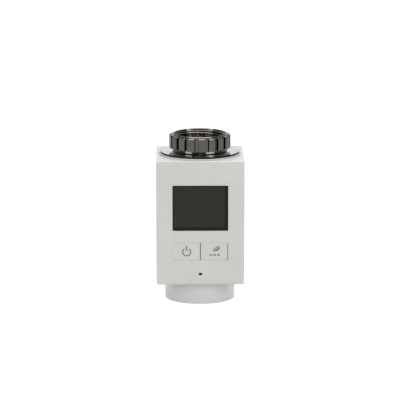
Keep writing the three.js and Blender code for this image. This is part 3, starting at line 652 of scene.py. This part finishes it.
def power_mark():
    """An open ring with a bar in its gap."""
    centre = Vector((-8.1, 32.9))
    outer, stroke, gap = 2.7, 0.72, math.radians(38)
    steps = 64
    angles = [TAU / 4 + gap + (TAU - 2 * gap) * k / steps for k in range(steps + 1)]
    ring = [(centre.x + outer * math.cos(a), centre.y + outer * math.sin(a)) for a in angles]
    inner = outer - stroke
    ring += [(centre.x + inner * math.cos(a), centre.y + inner * math.sin(a)) for a in reversed(angles)]
    bar = bar_outline((centre.x, centre.y + 0.9), (centre.x, centre.y + 3.5), stroke)
    both = merge(flat_mark(ring), flat_mark(bar))
    return new_object("power_mark", both, PRINT, "power_button", 30)


def leaf_mark():
    """A thin and a thick leaf blade beside a bare midrib, over three short dashes."""
    centre = Vector((9.35, 34.85))
    tilt = math.radians(30)
    length, rib = 5.3, 0.36
    thin, thick = 0.85, 1.5

    def placed(u, v):
        x = centre.x + u * math.cos(tilt) - v * math.sin(tilt)
        z = centre.y + u * math.sin(tilt) + v * math.cos(tilt)
        return (x, z)

    steps = 20
    along = [k / steps for k in range(steps + 1)]
    blades = []
    for side, width in ((1, thin), (-1, thick)):
        bulge = []
        for t in along:
            swell = width * math.sin(math.pi * t) ** 0.7 * (0.6 + 0.4 * t)
            bulge.append(placed((t - 0.5) * length, side * (rib / 2 + swell)))
        straight = [placed((t - 0.5) * length, side * rib / 2) for t in reversed(along[1:-1])]
        blades.append(flat_mark(bulge + straight))
    dash_z, dash_length, dash_width = 31.1, 0.75, 0.95
    dashes = [flat_mark(bar_outline((x, dash_z), (x + dash_length, dash_z), dash_width))
              for x in (5.8, 8.05, 10.3)]
    return new_object("eco_mark", merge(*blades, *dashes), PRINT, "eco_button", 30)


def status_light():
    """The light guide behind its small slot."""
    low, high = box_mm("status_light_guide")
    guide = slab(low.x, low.z, high.x, high.z, 0.12, edge_levels(low.y, high.y, 0.1, 3))
    return new_object("status_light", guide, STATUS_WINDOW, "housing", 30, ["status_light_guide"])


# ---------------------------------------------------------------- valve connection
def nut_section():
    """One rib and its two half grooves, as (distance along the nut, radius)."""
    pitch = TAU * (NUT_TIP + NUT_BODY) / 2 / NUT_RIBS
    half_floor, flank = 0.85, 0.22
    rib_start, rib_end = half_floor + flank, pitch - half_floor - flank
    crown = NUT_TIP + 0.02
    section = fillet([
        (0, NUT_BODY), (half_floor / 2, NUT_BODY), (half_floor, NUT_BODY, 0.25), (rib_start, NUT_TIP, 0.5),
        (pitch / 2, crown), (rib_end, NUT_TIP, 0.5), (pitch - half_floor, NUT_BODY, 0.25),
        (pitch - half_floor / 2, NUT_BODY), (pitch, NUT_BODY)], 4)
    return divided(section, 0.45)[:-1]


def thread_phase(z, angle, pitch):
    """How far a point is along one turn of a helix, from 0 to 1."""
    return ((z - pitch * angle / TAU) / pitch) % 1


def union_nut():
    """The ribbed nut with a smooth collar, an inner ledge that the ring holds, and a real helical thread."""
    middle = (NUT_TIP + NUT_BODY) / 2
    section = nut_section()
    rib_depth = NUT_TIP - NUT_BODY
    samples = [(FIRST_GROOVE + rib * TAU / NUT_RIBS + along / middle, (radius - NUT_BODY) / rib_depth)
               for rib in range(NUT_RIBS) for along, radius in section]
    bottom, top = NUT_LOW.z, NUT_HIGH.z

    def plain(radius, z):
        return [(radius * math.cos(a), radius * math.sin(a), z) for a, _ in samples]

    def ribbed(tip, z):
        radii = [NUT_BODY + (tip - NUT_BODY) * height for _, height in samples]
        return [(r * math.cos(a), r * math.sin(a), z) for r, (a, _) in zip(radii, samples)]

    def threaded(z, fade):
        made = []
        for angle, _ in samples:
            phase = thread_phase(z, angle, THREAD_PITCH)
            ridge = min(1.0, max(0.0, (0.5 - abs(phase - 0.5)) * 3.2 - 0.3))
            radius = NUT_MAJOR - (NUT_MAJOR - NUT_MINOR) * ridge * fade
            made.append((radius * math.cos(angle), radius * math.sin(angle), z))
        return made

    foot = [(NUT_BODY - 0.4, 0.0), (NUT_BODY - 0.1, 0.1), (NUT_BODY, 0.4)]
    rings = [plain(radius, bottom + rise) for radius, rise in foot]
    rings.append(plain(NUT_BODY, RIB_LOW))
    tip_round = 0.45
    for sine, cosine in quarter_turn(5):
        rings.append(ribbed(NUT_TIP - tip_round * (1 - sine), RIB_LOW + 0.03 + tip_round * (1 - cosine)))
    rib_chamfer = [(0.0, 0.66), (0.04, 0.56), (0.12, 0.46), (0.44, 0.14), (0.54, 0.06), (0.66, 0.03)]
    rings += [ribbed(NUT_TIP - inset, RIB_HIGH - drop) for inset, drop in rib_chamfer]
    rings.append(plain(NUT_BODY, RIB_HIGH))
    collar_chamfer = [(0.1, 0.66), (0.14, 0.56), (0.22, 0.46), (0.58, 0.1), (0.66, 0.03), (0.76, 0.0)]
    rings += [plain(NUT_BODY - inset, top - drop) for inset, drop in collar_chamfer]
    mouth = [(15.6, 0.0), (15.52, 0.03), (15.36, 0.17), (15.2, 0.55), (14.98, 1.1)]
    rings += [plain(radius, top - drop) for radius, drop in mouth]
    thread_low, thread_high, levels = 93.4, 98.65, 56
    for level in range(levels + 1):
        share = level / levels
        fade = min(1.0, share * 6, (1 - share) * 6)
        rings.append(threaded(thread_high - share * (thread_high - thread_low), fade))
    ledge, edge = 91.7, 0.1
    rings += [plain(NUT_MAJOR, ledge), plain(NUT_NECK_HOLE + edge, ledge), plain(NUT_NECK_HOLE, ledge - edge),
              plain(NUT_NECK_HOLE, bottom + edge), plain(NUT_NECK_HOLE + edge, bottom)]
    return new_object("union_nut_body", loft(rings, close=True), BLACK_NICKEL, "nut", 24, ["union_nut"])


def flange():
    """The polished disc with a black rim, its neck with the ring's groove, and the stub in the housing."""
    radius, top, bottom = DISC_HIGH.x, DISC_HIGH.z, DISC_LOW.z
    rim = 0.12
    neck, bore, stub, stub_bore, step_z = 12.0, 8.2, 14.0, 9.85, 86.55
    groove_floor, groove_low, groove_high = 11.3, 91.95, 93.05
    profile = fillet([
        (stub_bore, bottom), (stub, bottom, 0.2), (stub, DISC_BOTTOM, 0.1), (radius - 0.1, DISC_BOTTOM, 0.3),
        (radius, DISC_TOP, rim), (neck, DISC_TOP, 0.3), (neck, groove_low, 0.05), (groove_floor, groove_low),
        (groove_floor, groove_high), (neck, groove_high, 0.05), (neck, top, 0.4), (bore, top, 0.3),
        (bore, step_z), (stub_bore, step_z)])
    bm = lathe(profile, 192, closed=True)
    # the faces of the disc's edge below its top are coloured black matte, darker than the mirror around them
    for face in bm.faces:
        middle = face.calc_center_median()
        if math.hypot(middle.x, middle.y) > radius - rim and middle.z < DISC_TOP - 0.01:
            face.material_index = 1
    piece = new_object("flange_disc", bm, MIRROR_NICKEL, "housing", 28, ["flange_plate"])
    piece.data.materials.append(BLACK_RIM)
    return piece


def screw_thread(low, high, radius, depth, pitch, segments, levels, taper=None):
    """The rings of a bar with a helical thread. taper gives the share of the radius left at a height."""
    angles = [TAU * k / segments for k in range(segments)]
    rings = []
    for level in range(levels + 1):
        z = low + (high - low) * level / levels
        share = taper(z) if taper else 1.0
        radii = [(radius - depth * abs(2 * thread_phase(z, a, pitch) - 1)) * share for a in angles]
        rings.append([(r * math.cos(a), r * math.sin(a), z) for r, a in zip(radii, angles)])
    return rings


def square_bar(half, corner, low, high):
    outline = rounded_rectangle(-half, -half, half, half, corner)
    return loft([[(x, y, z) for x, y in outline] for z in (low, high)])


def plunger():
    """The driven pin: a threaded foot, a square shank that can't turn and a round head."""
    low, high = box_mm("plunger")
    top = high.z
    thread, thread_depth, thread_top = 3.1, 0.45, 80.2
    lead_in, segments = 0.3, 48
    foot_radius = 0.85 * thread
    angles = [TAU * k / segments for k in range(segments)]
    foot = [(foot_radius * math.cos(a), foot_radius * math.sin(a), low.z) for a in angles]
    threaded = screw_thread(low.z + lead_in, thread_top, thread, thread_depth, THREAD_PITCH, segments, 60)
    head, head_bottom, dish, dish_depth = 4.4, 91.0, 1.6, 0.35
    overlap = 0.5
    shank = square_bar(2.2, 0.3, thread_top - overlap, head_bottom + overlap)
    cap = lathe(fillet([
        (0, head_bottom), (head, head_bottom, 0.3), (head, top, 0.6), (dish + 0.4, top - 0.02, 0.2),
        (dish, top - dish_depth, 0.2), (0, top - dish_depth)]), 96)
    body = boolean(loft([foot, *threaded]), [("UNION", shank), ("UNION", cap)])
    return new_object("plunger_pin", body, ACETAL, "plunger", 30, ["plunger"])


def plunger_guide():
    """The bush that the square shank slides in."""
    low, high = box_mm("plunger_guide")
    top = high.z
    body_radius, rim_top, mouth, dish_depth = 7.9, 86.4, 5.6, 0.5
    body = lathe(fillet([
        (0, low.z), (high.x, low.z, 0.2), (high.x, rim_top, 0.2), (body_radius, rim_top),
        (body_radius, top, 0.4), (mouth, top, 0.1), (mouth - 0.4, top - dish_depth, 0.1),
        (0, top - dish_depth)]), 96)
    bush = boolean(body, [("DIFFERENCE", square_bar(2.5, 0.3, 80, 95))])
    return new_object("plunger_guide_bush", bush, BLACK, "housing", 30, ["plunger_guide"])


# ---------------------------------------------------------------- knob
def knob():
    """The setting knob: a smooth cup with a hub that runs up into the housing."""
    radius, top, wall = KNOB_HIGH.x, 12.6, 2.0
    cap_seat, cap_seat_radius, floor_top = 1.6, 18.4, 3.4
    hub, shaft, clip_floor, clip_low, clip_high, shoulder = 6.4, 4.0, 5.4, 15.5, 16.5, 17.2
    profile = fillet([
        (0, cap_seat), (cap_seat_radius, cap_seat, 0.1), (cap_seat_radius, 0, 0.15), (radius, 0, 0.35),
        (radius, top, 0.35), (radius - wall, top, 0.3), (radius - wall, floor_top, 0.6),
        (hub, floor_top, 0.5), (hub, clip_low, 0.1), (clip_floor, clip_low), (clip_floor, clip_high),
        (hub - 0.3, clip_high, 0.1), (hub - 0.3, shoulder, 0.1), (shaft, shoulder),
        (shaft, KNOB_HIGH.z, 0.3), (0, KNOB_HIGH.z)])
    return new_object("knob_shell", lathe(profile, 192), WHITE_KNOB, "knob", 30, ["knob"])


def knob_cap():
    """The knob's end plate, slightly dished, with a shallow ring groove."""
    low, high = box_mm("knob_cap")
    radius = high.x
    bottom = low.z
    groove_in, groove_out, groove_depth = 14.6, 15.2, 0.25
    profile = fillet([
        (0, bottom + 0.18), (6.0, bottom + 0.14), (groove_in - 0.4, bottom + 0.02),
        (groove_in, bottom + 0.02, 0.05), (groove_in + 0.1, bottom + groove_depth, 0.05),
        (groove_out - 0.1, bottom + groove_depth, 0.05), (groove_out, bottom, 0.05),
        (radius, bottom, 0.3), (radius, high.z, 0.05), (0, high.z)])
    disc = lathe(profile, 160)
    return new_object("knob_cap_disc", disc, WHITE_KNOB, "knob", 30, ["knob_cap"])


# ---------------------------------------------------------------- fasteners
SHANK_RADIUS = {"base": 1.1, "flange": 1.0, "gearbox": 1.0}


def cross_head_screw(group, number):
    """A domed cross-head screw in place of the plain CAD one. Its head is at its lower end."""
    node = f"{group}_screw_{number}"
    low, high = box_mm(node)
    centre = (low + high) / 2
    head, head_height = (high.x - low.x) / 2, 1.0
    underside = low.z + head_height
    dome = fillet([(0, low.z), (head * 0.7, low.z + 0.08, 0.4), (head, low.z + 0.55, 0.25),
                   (head, underside, 0.05), (0, underside)])
    arm, half_width, depth, floor_share = head * 0.62, 0.22, 0.72, 0.5
    operations = []
    for x, y in ((half_width, arm), (arm, half_width)):
        corners = ((-x, -y), (x, -y), (x, y), (-x, y))
        rings = [[(cx * share, cy * share, low.z + z) for cx, cy in corners]
                 for share, z in ((1.0, -0.5), (1.0, 0.05), (floor_share, depth))]
        operations.append(("DIFFERENCE", loft(rings)))

    def pointed(z):
        return min(1.0, (high.z - z) / 0.9 + 0.25)

    levels = int((high.z - underside) / 0.12)
    pitch, thread_depth, overlap = 0.6, 0.22, 0.2
    radius = SHANK_RADIUS[group]
    shank = screw_thread(underside - overlap, high.z, radius, thread_depth, pitch, 24, levels, pointed)
    operations.append(("UNION", loft(shank)))
    screw = boolean(lathe(dome, 48), operations)
    placed = moved(screw, centre.x, centre.y)
    return new_object(node + "_detail", placed, STEEL, "housing", 30, [node])


# ---------------------------------------------------------------- cells
def cell(node, flipped):
    """A round cell: a wrapped can with rolled edges, a bare flat end and a nub, and a band at the nub end."""
    low, high = box_mm(node)
    centre = (low + high) / 2
    radius = (high.x - low.x) / 2
    length = high.z - low.z
    nub, nub_radius, band_height = 1.2, 2.7, 12
    body = length - nub
    bm = lathe(fillet([
        (0, 0.25), (radius - 1.6, 0.25, 0.1), (radius - 1.4, 0.0, 0.1), (radius, 0.0, 0.5),
        (radius, body, 0.7), (radius - 1.3, body, 0.15), (radius - 1.5, body - 0.25, 0.1),
        (nub_radius, body - 0.2, 0.1), (nub_radius, length, 0.4), (0, length)]), 72)
    wrap, bare_steel, band = 0, 1, 2
    for face in bm.faces:
        middle = face.calc_center_median()
        if math.hypot(middle.x, middle.y) < radius - 1.35:
            face.material_index = bare_steel
        else:
            face.material_index = band if middle.z > body - band_height else wrap
    for vertex in bm.verts:
        x, y, z = vertex.co
        if flipped:
            vertex.co = (centre.x + x, centre.y - y, high.z - z)
        else:
            vertex.co = (centre.x + x, centre.y + y, low.z + z)
    piece = new_object(node + "_cell", bm, WRAP, "housing", 30, [node])
    piece.data.materials.append(STEEL)
    piece.data.materials.append(WRAP_BAND)
    return piece


def coil_contact(node, flipped):
    """The conical coil spring that presses on a cell's flat end, with its wide turn on the tray."""
    low, high = box_mm(node)
    side = -1 if node.endswith("left") else 1
    x, y = side * 8.2, 16.0
    wire, turns, wide, narrow = 0.18, 2.5, 4.2, 2.0
    height = high.z - low.z - 2 * wire
    base = high.z - wire if flipped else low.z + wire
    rise = -1 if flipped else 1
    steps = 120
    points = []
    for step in range(steps + 1):
        t = step / steps
        angle = t * turns * TAU * rise
        radius = wide - (wide - narrow) * t
        points.append((x + radius * math.cos(angle), y + radius * math.sin(angle), base + rise * height * t))
    coil = tube(points, wire, 10)
    return new_object(node + "_coil", coil, SPRING_STEEL, "housing", 40, [node])


# ---------------------------------------------------------------- carried-over CAD nodes
def dress(node, material, bevel=0.0):
    """Gives a CAD node its material, and broken edges where they are sharp."""
    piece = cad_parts[node]
    piece.data.materials.clear()
    piece.data.materials.append(material)
    if bevel:
        edges = piece.modifiers.new("broken edges", "BEVEL")
        edges.width = bevel * MM
        edges.segments = 2
        edges.limit_method = "ANGLE"
        edges.angle_limit = math.radians(40)
    shading = piece.modifiers.new("flat faces stay flat", "WEIGHTED_NORMAL")
    shading.weight = 90


DRESSED = {
    "retaining_ring": (SPRING_STEEL, 0.08), "knob_clip": (SPRING_STEEL, 0.08),
    "plate_contact_left": (SPRING_STEEL, 0.05), "plate_contact_right": (SPRING_STEEL, 0.05),
    "lcd_panel": (WINDOW, 0.1), "lcd_frame": (BLACK, 0.15), "main_board": (BOARD, 0.0),
    "encoder_board": (BOARD, 0.0), "control_chip": (BLACK, 0.15), "radio_shield": (STEEL, 0.25),
    "power_switch_case": (BLACK, 0.1), "eco_switch_case": (BLACK, 0.1),
    "power_switch_stem": (GREY, 0.08), "eco_switch_stem": (GREY, 0.08),
    "battery_tray": (GREY, 0.15), "gearbox_base": (BLACK, 0.1), "gearbox_cover": (BLACK, 0.1),
    "drive_gear": (ACETAL, 0.04), "idler_gear_1": (ACETAL, 0.03), "idler_gear_2": (ACETAL, 0.03),
    "idler_axle_1": (STEEL, 0.08), "idler_axle_2": (STEEL, 0.08), "thrust_washer": (STEEL, 0.05),
    "motor_can": (STEEL, 0.15), "motor_end_cap": (BLACK, 0.1), "motor_pinion": (ACETAL, 0.02),
    "motor_lead_red": (RED, 0.0), "motor_lead_black": (SLEEVE, 0.0),
    "knob_gear": (ACETAL, 0.03), "encoder_gear": (ACETAL, 0.03), "encoder_case": (BLACK, 0.15),
}


# ---------------------------------------------------------------- studio
def floor():
    """A pale backlit table. It glows less just behind the object, where the lamps already make it white."""
    reach = 6.0
    bm = bmesh.new()
    bmesh.ops.create_grid(bm, x_segments=1, y_segments=1, size=reach)
    mesh = bpy.data.meshes.new("floor")
    bm.to_mesh(mesh)
    bm.free()
    piece = bpy.data.objects.new("floor", mesh)
    bpy.context.scene.collection.objects.link(piece)
    material, tree, shader = nodes_of("pale_floor")
    shader.inputs["Base Color"].default_value = (0.3, 0.3, 0.3, 1)
    shader.inputs["Roughness"].default_value = 0.9
    shader.inputs["Specular IOR Level"].default_value = 0.1
    shader.inputs["Emission Color"].default_value = (1, 1, 1, 1)
    split = coordinates(tree, "Object")
    around = spread(tree, split.outputs["Y"], 0.84, 0.56, 0.02, 0.1)
    far_behind = spread(tree, split.outputs["Y"], 0.0, 0.45, 0.25, 1.1)
    tree.links.new(combine(tree, "ADD", around, far_behind), shader.inputs["Emission Strength"])
    mesh.materials.append(material)


def sky():
    """A white room that is dim in front of the object, bright behind it and soft overhead."""
    world = bpy.data.worlds.new("studio")
    bpy.context.scene.world = world
    world.use_nodes = True
    tree = world.node_tree
    background = tree.nodes["Background"]
    split = coordinates(tree, "Generated")
    behind = spread(tree, split.outputs["Y"], 0.18, 0.8, -0.4, 0.7)
    above = spread(tree, split.outputs["Z"], 0.0, 0.3, 0.0, 1.0)
    tree.links.new(combine(tree, "ADD", behind, above), background.inputs["Strength"])
    background.inputs["Color"].default_value = (1.0, 1.0, 1.0, 1)


def softbox(name, azimuth, elevation, distance, size, power):
    """A rectangular light that faces the object. Azimuth 0 is in front of it and grows towards +X."""
    light = bpy.data.lights.new(name, "AREA")
    light.shape = "RECTANGLE"
    light.size, light.size_y = size
    light.energy = power
    lamp = bpy.data.objects.new(name, light)
    bpy.context.scene.collection.objects.link(lamp)
    a, e = math.radians(azimuth), math.radians(elevation)
    target = Vector((0, 0, 0.06))
    away = Vector((math.sin(a) * math.cos(e), -math.cos(a) * math.cos(e), math.sin(e)))
    lamp.location = target + away * distance
    lamp.rotation_euler = (-away).to_track_quat("-Z", "Y").to_euler()


def camera():
    """A long lens a little above the object. It aims above the middle, so the object sits low in the view."""
    distance, elevation, swing = 1.5, math.radians(11.9), math.radians(-0.7)
    middle, aim = Vector((0, 0, 0.0496)), Vector((0.0001, 0, 0.0589))
    data = bpy.data.cameras.new("camera")
    data.sensor_width = 36
    data.lens = 225.4
    data.clip_start = 0.05
    data.clip_end = 50
    piece = bpy.data.objects.new("camera", data)
    bpy.context.scene.collection.objects.link(piece)
    level = distance * math.cos(elevation)
    height = distance * math.sin(elevation)
    piece.location = middle + Vector((level * math.sin(swing), -level * math.cos(swing), height))
    piece.rotation_euler = (aim - piece.location).to_track_quat("-Z", "Y").to_euler()
    bpy.context.scene.camera = piece


# ---------------------------------------------------------------- build
camera()
floor()
sky()
softbox("left_softbox", -50, 18, 1.5, (0.75, 0.78), 10.0)
softbox("right_softbox", 45, 18, 1.5, (0.95, 0.78), 13.5)
softbox("top_softbox", 0, 88, 1.1, (1.1, 1.1), 20.0)
bpy.context.scene.view_settings.view_transform = "Standard"

housing()
bottom_plate()
battery_door()
display_window()
key(-1, 16.2, "power_key", "power_button")
key(1, 16.0, "eco_key", "eco_button")
power_mark()
leaf_mark()
status_light()
union_nut()
flange()
plunger()
plunger_guide()
knob()
knob_cap()
for group, count in (("base", 4), ("flange", 3), ("gearbox", 4)):
    for number in range(1, count + 1):
        cross_head_screw(group, number)
cell("battery_left", False)
cell("battery_right", True)
coil_contact("coil_contact_left", False)
coil_contact("coil_contact_right", True)
for node, (material, bevel) in DRESSED.items():
    dress(node, material, bevel)
